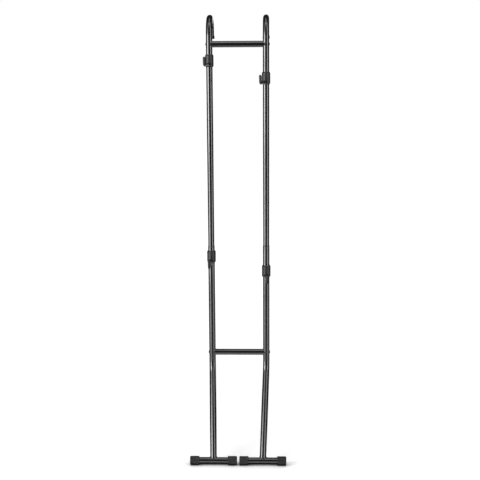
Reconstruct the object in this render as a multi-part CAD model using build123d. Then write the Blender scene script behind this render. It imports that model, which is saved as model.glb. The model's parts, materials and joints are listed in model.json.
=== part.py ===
from build123d import *
import math
import os

os.makedirs("parts", exist_ok=True)

# Two-bike stand that leans on a wall: millimetres, +Z up, front towards -Y, floor at Z = 0

# Upper posts: the narrower tubes with the cane tops
POST_OD = 31.8
POST_WALL = 1.5
CANE_RADIUS = 85.0
CANE_CENTRE_Z = 2116.0
CANE_TAIL = 14.0

# Lower legs: wider tubes, each with a socket for its post at the top
LEG_WALL = 1.2
SOCKET_CLEARANCE = 0.1
SOCKET_DEPTH = 80.0
SEAM_Z = 1063.0
STOP_HEIGHT = 3.0
STOP_SINK = 0.3
KNEE_Z = 425.0
KNEE_RADIUS = 120.0
TOE_IN = 16.7

# Spacing of the uprights, how far the feet stand in front of them, and the gap between the feet
UPRIGHT_SPACING = 280.0
FOOT_FORWARD = 297.0
FOOT_GAP = 11.6

# Feet: cross tubes with rubber caps
FOOT_OD = 35.0
FOOT_WALL = 1.5
FOOT_LENGTH = 235.0
WELD_SIZE = 3.0
CAP_OD = 46.0
CAP_LENGTH = 45.7
CAP_END = 4.0
CAP_EDGE_RADIUS = 3.0
CAP_SOLE_DEPTH = 1.0
CAP_GROOVES = 11
CAP_GROOVE_WIDTH = 2.2
CAP_GROOVE_DEPTH = 1.0
CAP_GROOVE_MARGIN = 6.0
CAP_GROOVE_SPAN = 250.0

# Crossbars between the uprights, one below the cane bends and one above the knees
BAR_OD = 31.8
BAR_WALL = 1.5
TOP_BAR_DROP = 44.0
BOTTOM_BAR_RISE = 73.0
BAR_EAR_SETBACK = 6.0
BAR_CLEARANCE = 0.05

# Bolts, saddle washers and threaded plugs that hold the crossbars
BOLT_D = 8.0
BOLT_HOLE_CLEARANCE = 0.25
BOLT_HEAD_D = 14.0
BOLT_HEAD_HEIGHT = 2.6
BOLT_SOCKET_AF = 4.0
BOLT_SOCKET_DEPTH = 1.4
THREAD_CLEARANCE = 0.05
WASHER_OD = 17.0
WASHER_CENTRE = 0.6
PLUG_LENGTH = 18.0
PLUG_SETBACK = 1.0

# Rubber bumpers on the cane ends
BUMPER_WALL = 2.0
BUMPER_END = 3.0
BUMPER_GRIP = 12.0
BUMPER_PAD = 3.0
BUMPER_PAD_WIDTH = 20.0
BUMPER_CLEARANCE = 0.05

# Carrier arms: how far each collar sits below the top crossbar or the seam
UPPER_LEFT_DROP = 80.0
UPPER_RIGHT_DROP = 166.0
LOWER_LEFT_DROP = 57.0
LOWER_RIGHT_DROP = 133.0

# Carrier arms: degrees that each is turned about its upright, plus to the right at the tip
UPPER_LEFT_TURN = -3.3
UPPER_RIGHT_TURN = -7.1
LOWER_LEFT_TURN = 0.0
LOWER_RIGHT_TURN = 1.4

# Liner: the split nylon sleeve that glides on the tube
LINER_CLEARANCE = 0.1
LINER_WALL = 1.4
LINER_HEIGHT = 62.0
LINER_FLANGE = 2.2
LINER_FLANGE_INSET = 1.8
LINER_SLIT = 2.5

# Collar: the moulded body that swivels on the liner
COLLAR_CLEARANCE = 0.05
COLLAR_WALL = 3.4
COLLAR_END_GAP = 0.3
COLLAR_CHAMFER = 2.6
FRONT_BOSS_OD = 19.0
FRONT_BOSS_LENGTH = 13.0
FRONT_BOSS_MARGIN = 1.0
REAR_BOSS_OD = 19.0
REAR_BOSS_LENGTH = 8.0

# Arm: a bent steel rod, cross-pinned in the collar and covered with a soft sleeve
ROD_D = 10.0
ROD_CLEARANCE = 0.05
ROD_SEAT_WALL = 1.5
ARM_REACH = 207.0
ARM_BEND_RADIUS = 20.0
TIP_RISE = 33.5
TIP_LEAN = 10.0
SLEEVE_WALL = 1.5
PIN_D = 4.0
PIN_RECESS = 0.5

# Clamp at the back of the collar
STUD_D = 8.0
STUD_TIP_GAP = 0.3
STUD_HOLE_CLEARANCE = 0.3
STUD_GRIP = 12.0
INSERT_OD = 11.0
INSERT_LENGTH = 8.0
KNOB_OD = 30.0
KNOB_HEIGHT = 14.0
KNOB_HUB_OD = 16.0
KNOB_HUB_HEIGHT = 4.0
KNOB_GAP = 1.5
KNOB_LOBES = 6
KNOB_SCALLOP_RADIUS = 6.0
KNOB_SCALLOP_DEPTH = 2.2
KNOB_EDGE_RADIUS = 1.2

# Sizes that follow from the ones above
POST_BORE = POST_OD - 2 * POST_WALL
LEG_BORE = POST_OD + 2 * SOCKET_CLEARANCE
LEG_OD = LEG_BORE + 2 * LEG_WALL
BAR_BORE = BAR_OD - 2 * BAR_WALL
POST_FOOT_Z = SEAM_Z - SOCKET_DEPTH
FOOT_AXIS_Z = CAP_OD / 2 - CAP_SOLE_DEPTH
FOOT_CENTRE_X = (FOOT_GAP + FOOT_LENGTH) / 2
LEG_LANDING_X = UPRIGHT_SPACING / 2 - TOE_IN
REAR_REACH = 2 * CANE_RADIUS + POST_OD / 2 + BUMPER_CLEARANCE + BUMPER_PAD
FRONT_REACH = FOOT_FORWARD + CAP_OD / 2
UPRIGHT_Y = (FRONT_REACH - REAR_REACH) / 2
FOOT_Y = UPRIGHT_Y - FOOT_FORWARD
CANE_END_Z = CANE_CENTRE_Z - CANE_TAIL
TOP_BAR_Z = CANE_CENTRE_Z - TOP_BAR_DROP
BOTTOM_BAR_Z = KNEE_Z + BOTTOM_BAR_RISE
UPPER_LEFT_Z = TOP_BAR_Z - UPPER_LEFT_DROP
UPPER_RIGHT_Z = TOP_BAR_Z - UPPER_RIGHT_DROP
LOWER_LEFT_Z = SEAM_Z - LOWER_LEFT_DROP
LOWER_RIGHT_Z = SEAM_Z - LOWER_RIGHT_DROP
COLLAR_HEIGHT = LINER_HEIGHT - 2 * (LINER_FLANGE + COLLAR_END_GAP)
FRONT_BOSS_DROP = (COLLAR_HEIGHT - FRONT_BOSS_OD) / 2 - FRONT_BOSS_MARGIN

SIDES = {"left": -1, "right": 1}
ENDS = {"outer": 1, "inner": -1}
CROSSBARS = {"top_crossbar": (TOP_BAR_Z, POST_OD), "bottom_crossbar": (BOTTOM_BAR_Z, LEG_OD)}
ARMS = {
    "upper_left": (-1, POST_OD, UPPER_LEFT_Z, UPPER_LEFT_TURN),
    "upper_right": (1, POST_OD, UPPER_RIGHT_Z, UPPER_RIGHT_TURN),
    "lower_left": (-1, LEG_OD, LOWER_LEFT_Z, LOWER_LEFT_TURN),
    "lower_right": (1, LEG_OD, LOWER_RIGHT_Z, LOWER_RIGHT_TURN),
}


def bar_along(path, diameter):
    """A round bar of one diameter along a path."""
    start = Plane(path @ 0, z_dir=path % 0)
    return sweep(start * Circle(diameter / 2), path=path)


def tube_along(path, outer, inner):
    """A round tube along a path."""
    return bar_along(path, outer) - bar_along(path, inner)


def along_x(radius, length):
    """A cylinder on the X axis, centred on the origin."""
    return Rot(0, 90, 0) * Cylinder(radius, length)


def along_y(radius, start, end):
    """A cylinder on the Y axis from one Y to another."""
    return Pos(0, (start + end) / 2, 0) * Rot(90, 0, 0) * Cylinder(radius, abs(end - start))


def upright_x(side):
    """The X of an upright's axis."""
    return side * UPRIGHT_SPACING / 2


def bolt_hole(side, height, upright_od):
    """The bolt hole through both walls of an upright."""
    drill = along_x(BOLT_D / 2 + BOLT_HOLE_CLEARANCE, 2 * upright_od)
    return Pos(upright_x(side), UPRIGHT_Y, height) * drill


def upper_post(side):
    """A straight post with a half turn back at the top and a short tail."""
    x = upright_x(side)
    tail_y = UPRIGHT_Y + 2 * CANE_RADIUS
    foot = Vector(x, UPRIGHT_Y, POST_FOOT_Z)
    bend_start = Vector(x, UPRIGHT_Y, CANE_CENTRE_Z)
    bend_top = Vector(x, UPRIGHT_Y + CANE_RADIUS, CANE_CENTRE_Z + CANE_RADIUS)
    bend_end = Vector(x, tail_y, CANE_CENTRE_Z)
    tail = Vector(x, tail_y, CANE_END_Z)
    cane = ThreePointArc(bend_start, bend_top, bend_end)
    path = Wire([Line(foot, bend_start), cane, Line(bend_end, tail)])
    return tube_along(path, POST_OD, POST_BORE) - bolt_hole(side, TOP_BAR_Z, POST_OD)


def leg_path(side):
    """The axis of a leg: down from the seam, then forward and inward to the foot bar."""
    x = upright_x(side)
    top = Vector(x, UPRIGHT_Y, SEAM_Z)
    knee = Vector(x, UPRIGHT_Y, KNEE_Z)
    foot = Vector(side * LEG_LANDING_X, FOOT_Y, FOOT_AXIS_Z)
    return FilletPolyline(top, knee, foot, radius=KNEE_RADIUS)


def foot_core(side, radius):
    """A solid bar of a given radius on the foot bar's axis."""
    return Pos(side * FOOT_CENTRE_X, FOOT_Y, FOOT_AXIS_Z) * along_x(radius, FOOT_LENGTH - 2 * CAP_END)


def lower_leg(side):
    """A bent leg with a stop ring for the post, coped to the foot bar."""
    ring = Cylinder(LEG_BORE / 2 + STOP_SINK, STOP_HEIGHT) - Cylinder(POST_BORE / 2, STOP_HEIGHT)
    stop = Pos(upright_x(side), UPRIGHT_Y, POST_FOOT_Z - STOP_HEIGHT / 2) * ring
    leg = tube_along(leg_path(side), LEG_OD, LEG_BORE) + stop
    return leg - foot_core(side, FOOT_OD / 2) - bolt_hole(side, BOTTOM_BAR_Z, LEG_OD)


def foot_weld(side):
    """The fillet weld that runs round the leg where it meets the foot bar."""
    path = leg_path(side)
    landing = path @ 1
    line = Line(landing, landing - (path % 1) * (FOOT_OD + LEG_OD))
    leg_side = bar_along(line, LEG_OD + 2 * WELD_SIZE) - bar_along(line, LEG_OD)
    foot_side = foot_core(side, FOOT_OD / 2 + WELD_SIZE) - foot_core(side, FOOT_OD / 2)
    return leg_side & foot_side


def foot_bar(side):
    """The cross tube of a foot."""
    return foot_core(side, FOOT_OD / 2) - foot_core(side, FOOT_OD / 2 - FOOT_WALL)


def foot_cap(side, end):
    """A grooved rubber cap with a flat sole, closed at its outer end."""
    body = Pos(CAP_LENGTH / 2, 0, 0) * along_x(CAP_OD / 2, CAP_LENGTH)
    rim = body.edges().filter_by(GeomType.CIRCLE).sort_by(Axis.X)[-1]
    body = fillet(rim, CAP_EDGE_RADIUS)
    depth = CAP_LENGTH - CAP_END
    body -= Pos(depth / 2, 0, 0) * along_x(FOOT_OD / 2, depth)
    length = CAP_LENGTH - 2 * CAP_GROOVE_MARGIN
    for step in range(CAP_GROOVES):
        angle = (step / (CAP_GROOVES - 1) - 0.5) * CAP_GROOVE_SPAN
        groove = Pos(CAP_LENGTH / 2, 0, CAP_OD / 2) * Box(length, CAP_GROOVE_WIDTH, 2 * CAP_GROOVE_DEPTH)
        body -= Rot(angle, 0, 0) * groove
    sole = Pos(CAP_LENGTH / 2, 0, -CAP_OD / 2) * Box(2 * CAP_LENGTH, CAP_OD, 2 * CAP_SOLE_DEPTH)
    body -= sole
    direction = side * end
    mouth_x = side * FOOT_CENTRE_X + direction * (FOOT_LENGTH / 2 - CAP_LENGTH)
    turn = 0 if direction > 0 else 180
    return Pos(mouth_x, FOOT_Y, FOOT_AXIS_Z) * Rot(0, 0, turn) * body


def crossbar(height, upright_od):
    """A straight tube whose ends are cut to the round of the uprights."""
    length = UPRIGHT_SPACING - 2 * BAR_EAR_SETBACK
    bar = along_x(BAR_OD / 2, length) - along_x(BAR_BORE / 2, length)
    for side in SIDES.values():
        bar -= Pos(upright_x(side), 0, 0) * Cylinder(upright_od / 2 + BAR_CLEARANCE, 2 * BAR_OD)
    return Pos(0, UPRIGHT_Y, height) * bar


def bolt_end(side, height):
    """The place of a bolted joint: on the upright's axis, with +X pointing away from the bar."""
    return Pos(upright_x(side), UPRIGHT_Y, height) * Rot(0, 0, 0 if side > 0 else 180)


def crossbar_plug(side, height, upright_od):
    """A threaded plug inside a crossbar's end."""
    radius = BAR_BORE / 2 - BAR_CLEARANCE
    plug = along_x(radius, PLUG_LENGTH) - along_x(BOLT_D / 2 + THREAD_CLEARANCE, PLUG_LENGTH)
    inset = upright_od / 2 + PLUG_SETBACK + PLUG_LENGTH / 2
    return bolt_end(side, height) * Pos(-inset, 0, 0) * plug


def crossbar_washer(side, height, upright_od):
    """A saddle washer: round inside against the upright, flat outside under the bolt head."""
    face = upright_od / 2 + WASHER_CENTRE
    blank = Pos(face / 2, 0, 0) * along_x(WASHER_OD / 2, face)
    blank -= Cylinder(upright_od / 2 + BAR_CLEARANCE, 2 * WASHER_OD)
    blank -= along_x(BOLT_D / 2 + BOLT_HOLE_CLEARANCE, 4 * face)
    return bolt_end(side, height) * blank


def crossbar_bolt(side, height, upright_od):
    """A low domed bolt with a hexagon socket, screwed into the crossbar's plug."""
    seat = upright_od / 2 + WASHER_CENTRE
    tip = -(upright_od / 2 + PLUG_SETBACK + PLUG_LENGTH)
    half = BOLT_HEAD_D / 2
    dome_radius = (half**2 + BOLT_HEAD_HEIGHT**2) / (2 * BOLT_HEAD_HEIGHT)
    mid_angle = math.asin(half / dome_radius) / 2
    centre = seat + BOLT_HEAD_HEIGHT - dome_radius
    rim = (seat, half)
    shoulder = (centre + dome_radius * math.cos(mid_angle), dome_radius * math.sin(mid_angle))
    top = (seat + BOLT_HEAD_HEIGHT, 0)
    outline = [Line((seat, 0), rim), ThreePointArc(rim, shoulder, top), Line(top, (seat, 0))]
    head = revolve(make_face(outline), Axis.X)
    crown = Plane((seat + BOLT_HEAD_HEIGHT, 0, 0), x_dir=(0, 1, 0), z_dir=(-1, 0, 0))
    hexagon = crown * RegularPolygon(BOLT_SOCKET_AF / 2, 6, major_radius=False)
    head -= extrude(hexagon, BOLT_SOCKET_DEPTH)
    shank = Pos((seat + tip) / 2, 0, 0) * along_x(BOLT_D / 2, seat - tip)
    return bolt_end(side, height) * (head + shank)


def at_crossbar_ends(make):
    """The same small piece at both ends of both crossbars."""
    pieces = []
    for height, upright_od in CROSSBARS.values():
        pieces += [make(side, height, upright_od) for side in SIDES.values()]
    return Compound(children=pieces)


def wall_bumper(side):
    """A rubber cap on the end of the cane with a flat pad against the wall."""
    inner = POST_OD / 2 + BUMPER_CLEARANCE
    outer = inner + BUMPER_WALL
    height = BUMPER_GRIP + BUMPER_END
    pad_face = inner + BUMPER_PAD
    body = Pos(0, 0, height / 2) * Cylinder(outer, height)
    body += Pos(0, pad_face / 2, height / 2) * Box(BUMPER_PAD_WIDTH, pad_face, height)
    body -= Pos(0, 0, BUMPER_END + BUMPER_GRIP / 2) * Cylinder(inner, BUMPER_GRIP)
    tail_y = UPRIGHT_Y + 2 * CANE_RADIUS
    return Pos(upright_x(side), tail_y, CANE_END_Z - BUMPER_END) * body


def liner_radius(tube_od):
    """The outside of a liner on a tube."""
    return tube_od / 2 + LINER_CLEARANCE + LINER_WALL


def collar_bore(tube_od):
    """The bore radius of a collar on its liner."""
    return liner_radius(tube_od) + COLLAR_CLEARANCE


def collar_radius(tube_od):
    """The outside of a collar."""
    return collar_bore(tube_od) + COLLAR_WALL


def front_face(tube_od):
    """How far the end of the front boss stands in front of the tube's axis."""
    return collar_radius(tube_od) + FRONT_BOSS_LENGTH


def rear_face(tube_od):
    """How far the end of the rear boss stands behind the tube's axis."""
    return collar_radius(tube_od) + REAR_BOSS_LENGTH


def liner(tube_od):
    """A split sleeve with a coned flange at each end that traps the collar."""
    radius = liner_radius(tube_od)
    wide = collar_radius(tube_od) - LINER_FLANGE_INSET
    narrow = wide - LINER_FLANGE
    level = LINER_HEIGHT / 2 - LINER_FLANGE / 2
    body = Cylinder(radius, LINER_HEIGHT)
    body += Pos(0, 0, level) * Cone(wide, narrow, LINER_FLANGE)
    body += Pos(0, 0, -level) * Cone(narrow, wide, LINER_FLANGE)
    body -= Cylinder(tube_od / 2 + LINER_CLEARANCE, LINER_HEIGHT)
    slit = Pos(wide, 0, 0) * Box(2 * wide, LINER_SLIT, 2 * LINER_HEIGHT)
    return body - slit


def collar(tube_od):
    """A moulded collar with a boss for the arm in front and one for the clamp behind."""
    radius = collar_radius(tube_od)
    body = Cylinder(radius, COLLAR_HEIGHT)
    body = chamfer(body.edges().filter_by(GeomType.CIRCLE), COLLAR_CHAMFER)
    body += Pos(0, 0, -FRONT_BOSS_DROP) * along_y(FRONT_BOSS_OD / 2, -front_face(tube_od), 0)
    body += along_y(REAR_BOSS_OD / 2, 0, rear_face(tube_od))
    body -= Cylinder(collar_bore(tube_od), 2 * LINER_HEIGHT)
    seat = collar_bore(tube_od) + ROD_SEAT_WALL
    rod_hole = along_y(ROD_D / 2 + ROD_CLEARANCE, -2 * front_face(tube_od), -seat)
    body -= Pos(0, 0, -FRONT_BOSS_DROP) * rod_hole
    body -= arm_pin_place(tube_od) * Cylinder(PIN_D / 2, 2 * FRONT_BOSS_OD)
    body -= along_y(INSERT_OD / 2, rear_face(tube_od) - INSERT_LENGTH, 2 * rear_face(tube_od))
    return body - along_y(STUD_D / 2 + STUD_HOLE_CLEARANCE, 0, rear_face(tube_od))


def arm_pin_place(tube_od):
    """The centre of the cross pin, half way along the rod's grip in the boss."""
    seat = collar_bore(tube_od) + ROD_SEAT_WALL
    return Pos(0, -(seat + front_face(tube_od)) / 2, -FRONT_BOSS_DROP)


def arm_path(start):
    """The arm's axis: straight out to the front, then up and leaning outwards to the tip."""
    lean = TIP_RISE * math.tan(math.radians(TIP_LEAN))
    inner = Vector(0, -start, -FRONT_BOSS_DROP)
    corner = Vector(0, -ARM_REACH, -FRONT_BOSS_DROP)
    tip = Vector(0, -ARM_REACH - lean, -FRONT_BOSS_DROP + TIP_RISE)
    return FilletPolyline(inner, corner, tip, radius=ARM_BEND_RADIUS)


def arm_rod(tube_od):
    """The bent steel core of an arm, drilled for its cross pin."""
    rod = bar_along(arm_path(collar_bore(tube_od) + ROD_SEAT_WALL), ROD_D)
    return rod - arm_pin_place(tube_od) * Cylinder(PIN_D / 2, 2 * ROD_D)


def arm_sleeve(tube_od):
    """The soft sleeve over the arm, from the boss to a round closed tip."""
    path = arm_path(front_face(tube_od))
    radius = ROD_D / 2 + SLEEVE_WALL
    sleeve = bar_along(path, 2 * radius) + Pos(path @ 1) * Sphere(radius)
    return sleeve - bar_along(path, ROD_D)


def arm_pin(tube_od):
    """The cross pin that holds the rod in its boss."""
    return arm_pin_place(tube_od) * Cylinder(PIN_D / 2, FRONT_BOSS_OD - 2 * PIN_RECESS)


def thread_insert(tube_od):
    """The brass thread in the rear boss."""
    start = rear_face(tube_od) - INSERT_LENGTH
    outside = along_y(INSERT_OD / 2, start, rear_face(tube_od))
    return outside - along_y(STUD_D / 2 + THREAD_CLEARANCE, start, rear_face(tube_od))


def knob_face(tube_od):
    """Where the clamp knob's hub starts, behind the rear boss."""
    return rear_face(tube_od) + KNOB_GAP


def knob_stud(tube_od):
    """The steel stud from inside the knob to just short of the liner."""
    return along_y(STUD_D / 2, liner_radius(tube_od) + STUD_TIP_GAP, knob_face(tube_od) + STUD_GRIP)


def knob(tube_od):
    """A lobed hand knob with a short hub."""
    outline = Circle(KNOB_OD / 2)
    scallop_place = KNOB_OD / 2 + KNOB_SCALLOP_RADIUS - KNOB_SCALLOP_DEPTH
    outline -= PolarLocations(scallop_place, KNOB_LOBES) * Circle(KNOB_SCALLOP_RADIUS)
    head = extrude(outline, KNOB_HEIGHT)
    head = fillet(head.faces().sort_by(Axis.Z)[-1].edges(), KNOB_EDGE_RADIUS)
    body = Pos(0, 0, KNOB_HUB_HEIGHT) * head
    body += Pos(0, 0, KNOB_HUB_HEIGHT / 2) * Cylinder(KNOB_HUB_OD / 2, KNOB_HUB_HEIGHT)
    body -= Pos(0, 0, STUD_GRIP / 2) * Cylinder(STUD_D / 2, STUD_GRIP)
    return Pos(0, knob_face(tube_od), 0) * Rot(-90, 0, 0) * body


ARM_PIECES = {
    "liner": liner,
    "collar": collar,
    "arm_rod": arm_rod,
    "arm_sleeve": arm_sleeve,
    "arm_pin": arm_pin,
    "thread_insert": thread_insert,
    "knob_stud": knob_stud,
    "knob": knob,
}

nodes = {}
for name, side in SIDES.items():
    nodes[f"{name}_upper_post"] = upper_post(side)
    nodes[f"{name}_lower_leg"] = lower_leg(side)
    nodes[f"{name}_foot_bar"] = foot_bar(side)
    nodes[f"{name}_foot_weld"] = foot_weld(side)
    nodes[f"{name}_wall_bumper"] = wall_bumper(side)
    for end_name, end in ENDS.items():
        nodes[f"{name}_foot_{end_name}_cap"] = foot_cap(side, end)

for name, (height, upright_od) in CROSSBARS.items():
    nodes[name] = crossbar(height, upright_od)
nodes["crossbar_plugs"] = at_crossbar_ends(crossbar_plug)
nodes["crossbar_washers"] = at_crossbar_ends(crossbar_washer)
nodes["crossbar_bolts"] = at_crossbar_ends(crossbar_bolt)

for name, (side, tube_od, height, turn) in ARMS.items():
    place = Pos(upright_x(side), UPRIGHT_Y, height) * Rot(0, 0, turn)
    for piece, make in ARM_PIECES.items():
        nodes[f"{name}_{piece}"] = place * make(tube_od)

for name, shape in nodes.items():
    export_step(shape, f"parts/{name}.step")
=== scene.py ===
import json
import math

import bmesh
import bpy
from mathutils import Matrix, Vector


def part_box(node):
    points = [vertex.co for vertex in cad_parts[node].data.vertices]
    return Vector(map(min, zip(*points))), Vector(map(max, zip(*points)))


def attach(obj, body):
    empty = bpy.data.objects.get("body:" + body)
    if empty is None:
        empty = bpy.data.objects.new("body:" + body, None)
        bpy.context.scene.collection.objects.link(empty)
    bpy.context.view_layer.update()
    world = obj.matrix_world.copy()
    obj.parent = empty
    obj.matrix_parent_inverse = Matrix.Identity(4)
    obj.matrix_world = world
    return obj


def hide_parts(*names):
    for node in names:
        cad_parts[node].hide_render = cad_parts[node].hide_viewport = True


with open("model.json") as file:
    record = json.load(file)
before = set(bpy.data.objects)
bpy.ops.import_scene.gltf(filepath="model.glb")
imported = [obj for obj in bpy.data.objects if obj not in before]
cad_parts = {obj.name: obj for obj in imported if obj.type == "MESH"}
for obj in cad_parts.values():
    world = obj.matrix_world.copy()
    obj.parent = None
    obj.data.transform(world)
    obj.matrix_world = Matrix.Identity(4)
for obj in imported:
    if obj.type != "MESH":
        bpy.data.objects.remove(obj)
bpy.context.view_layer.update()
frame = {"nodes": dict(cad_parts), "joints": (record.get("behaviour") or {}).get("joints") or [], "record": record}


# Foot bars: two straight lengths of round steel tube that lie side by side across the floor.
# Sawn square, deburred and powder coated black, with a rubber cap pushed over each end.
SIDES = ("left", "right")
TUBE_SEGMENTS = 72
FOOT_BAR_WALL = 0.0015
SAWN_EDGE = 0.0003
EASED_ANGLE = math.radians(35.0)
EASED_STEPS = 2
DUST_COLOUR = (0.20, 0.19, 0.175, 1.0)
COAT_BLACK = (0.0048, 0.0048, 0.0053, 1.0)
COAT_GREY = (0.0085, 0.0085, 0.0091, 1.0)
COAT_SHINE = 0.8
COAT_HAZE = 0.12
TO_X = Matrix.Rotation(math.pi / 2, 4, "Y")


def verts_in(geometry):
    """The vertices of what an operator gives back."""
    return [item for item in geometry if isinstance(item, bmesh.types.BMVert)]


def edges_between(verts):
    """The edges that have both their ends among these vertices."""
    own = set(verts)
    inside = (edge for vert in verts for edge in vert.link_edges if edge.other_vert(vert) in own)
    return list(dict.fromkeys(inside))


def rim_verts(rim):
    """The vertices of a rim of edges."""
    return list(dict.fromkeys(vert for edge in rim for vert in edge.verts))


def tube_rim(bm, radius, place):
    """A round rim to draw a tube from: a circle across the place's own Z axis."""
    made = bmesh.ops.create_circle(bm, segments=TUBE_SEGMENTS, radius=radius, matrix=place)
    return edges_between(made["verts"])


def draw_on(bm, rim, step):
    """Draws a rim straight on by a step, and returns the new rim."""
    verts = verts_in(bmesh.ops.extrude_edge_only(bm, edges=rim)["geom"])
    bmesh.ops.translate(bm, vec=step, verts=verts)
    return edges_between(verts)


def bend_on(bm, rim, centre, axis, angle, steps):
    """Draws a rim on round a bend, and returns the new rim."""
    geometry = rim_verts(rim) + rim
    spun = bmesh.ops.spin(bm, geom=geometry, cent=centre, axis=axis, angle=angle, steps=steps)
    return edges_between(verts_in(spun["geom_last"]))


def piece_of(bm, name, material, body, slot, *nodes):
    """Turns a bmesh into a piece of the stand that rides on a body and stands for CAD nodes."""
    bmesh.ops.recalc_face_normals(bm, faces=bm.faces)
    mesh = bpy.data.meshes.new(name)
    bm.to_mesh(mesh)
    bm.free()
    mesh.shade_smooth()
    mesh.materials.append(material)
    piece = bpy.data.objects.new(name, mesh)
    bpy.context.scene.collection.objects.link(piece)
    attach(piece, body)
    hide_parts(*nodes)
    return piece


def ease_edges(piece, width):
    """Rounds a piece's sharp edges a little and keeps its flats flat."""
    ease = piece.modifiers.new("eased edges", "BEVEL")
    ease.width = width
    ease.segments = EASED_STEPS
    ease.limit_method = "ANGLE"
    ease.angle_limit = EASED_ANGLE
    flats = piece.modifiers.new("flat faces", "WEIGHTED_NORMAL")
    flats.keep_sharp = True


def give_wall(piece, wall):
    """Makes an open skin a tube wall with eased edges."""
    skin = piece.modifiers.new("wall", "SOLIDIFY")
    skin.thickness = wall
    skin.offset = -1.0
    ease_edges(piece, SAWN_EDGE)


def add_node(tree, kind, **inputs):
    """A shader node with some of its inputs set."""
    node = tree.nodes.new(kind)
    for socket, value in inputs.items():
        node.inputs[socket.replace("_", " ")].default_value = value
    return node


def multiply(tree, first, second):
    """The product of two outputs."""
    node = tree.nodes.new("ShaderNodeMath")
    node.operation = "MULTIPLY"
    tree.links.new(first, node.inputs[0])
    tree.links.new(second, node.inputs[1])
    return node.outputs["Value"]


def blend_colours(tree, mask, below, above):
    """A colour between two others by a mask; each is a plain colour or another node's output."""
    mix = tree.nodes.new("ShaderNodeMix")
    mix.data_type = "RGBA"
    tree.links.new(mask, mix.inputs[0])
    for socket, colour in zip([s for s in mix.inputs if s.type == "RGBA"], (below, above)):
        if isinstance(colour, bpy.types.NodeSocket):
            tree.links.new(colour, socket)
        else:
            socket.default_value = colour
    return next(s for s in mix.outputs if s.type == "RGBA")


def new_group(name, inputs, outputs):
    """An empty shader node group with named values coming in and going out."""
    group = bpy.data.node_groups.new(name, "ShaderNodeTree")
    for label, value in inputs.items():
        socket = group.interface.new_socket(label, in_out="INPUT", socket_type="NodeSocketFloat")
        socket.default_value = value
    for label in outputs:
        group.interface.new_socket(label, in_out="OUTPUT", socket_type="NodeSocketFloat")
    return group, group.nodes.new("NodeGroupInput"), group.nodes.new("NodeGroupOutput")


def make_surface_grain():
    """Fine skin of a coating or moulding: small rounded lumps, and slow cloudy patches."""
    sizes = {"Lumps Per Metre": 400.0, "Patches Per Metre": 14.0}
    group, given, put = new_group("surface_grain", sizes, ["Lumps", "Patches"])
    place = group.nodes.new("ShaderNodeTexCoord")
    for label, detail in (("Lumps", 2.0), ("Patches", 4.0)):
        noise = add_node(group, "ShaderNodeTexNoise", Detail=detail, Roughness=0.55)
        group.links.new(place.outputs["Object"], noise.inputs["Vector"])
        group.links.new(given.outputs[f"{label} Per Metre"], noise.inputs["Scale"])
        group.links.new(noise.outputs["Fac"], put.inputs[label])
    return group


def make_floor_dust():
    """Pale dust on faces that look up, thicker near the floor and in uneven patches."""
    group, given, put = new_group("floor_dust", {"Amount": 0.3, "Fade Height": 0.25}, ["Dust"])
    place = group.nodes.new("ShaderNodeTexCoord")
    faces = group.nodes.new("ShaderNodeNewGeometry")
    height = group.nodes.new("ShaderNodeSeparateXYZ")
    facing = group.nodes.new("ShaderNodeSeparateXYZ")
    specks = add_node(group, "ShaderNodeTexNoise", Scale=60.0, Detail=5.0, Roughness=0.65)
    near_floor = add_node(group, "ShaderNodeMapRange", To_Min=1.0, To_Max=0.12)
    upward = add_node(group, "ShaderNodeMapRange", From_Min=-0.1, From_Max=0.9)
    patches = add_node(group, "ShaderNodeMapRange", From_Min=0.4, From_Max=0.75)
    group.links.new(place.outputs["Object"], specks.inputs["Vector"])
    group.links.new(place.outputs["Object"], height.inputs["Vector"])
    group.links.new(faces.outputs["Normal"], facing.inputs["Vector"])
    group.links.new(height.outputs["Z"], near_floor.inputs["Value"])
    group.links.new(given.outputs["Fade Height"], near_floor.inputs["From Max"])
    group.links.new(facing.outputs["Z"], upward.inputs["Value"])
    group.links.new(specks.outputs["Fac"], patches.inputs["Value"])
    settled = multiply(group, near_floor.outputs["Result"], upward.outputs["Result"])
    settled = multiply(group, settled, patches.outputs["Result"])
    settled = multiply(group, settled, given.outputs["Amount"])
    group.links.new(settled, put.inputs["Dust"])
    return group


surface_grain = make_surface_grain()
floor_dust = make_floor_dust()


def finish_material(name, dark, pale, gloss, lumps, lump_depth, dust):
    """A finish with fine grain, cloudy colour and gloss, and a trace of dust."""
    material = bpy.data.materials.new(name)
    material.use_nodes = True
    tree = material.node_tree
    shader = tree.nodes["Principled BSDF"]
    grain = tree.nodes.new("ShaderNodeGroup")
    grain.node_tree = surface_grain
    grain.inputs["Lumps Per Metre"].default_value = lumps
    dusty = tree.nodes.new("ShaderNodeGroup")
    dusty.node_tree = floor_dust
    dusty.inputs["Amount"].default_value = dust
    rough = add_node(tree, "ShaderNodeMapRange", From_Min=0.3, From_Max=0.7)
    rough.inputs["To Min"].default_value = gloss[0]
    rough.inputs["To Max"].default_value = gloss[1]
    bump = add_node(tree, "ShaderNodeBump", Strength=1.0, Distance=lump_depth)
    colour = blend_colours(tree, grain.outputs["Patches"], dark, pale)
    colour = blend_colours(tree, dusty.outputs["Dust"], colour, DUST_COLOUR)
    tree.links.new(colour, shader.inputs["Base Color"])
    tree.links.new(grain.outputs["Patches"], rough.inputs["Value"])
    tree.links.new(rough.outputs["Result"], shader.inputs["Roughness"])
    tree.links.new(grain.outputs["Lumps"], bump.inputs["Height"])
    tree.links.new(bump.outputs["Normal"], shader.inputs["Normal"])
    return material


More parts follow.
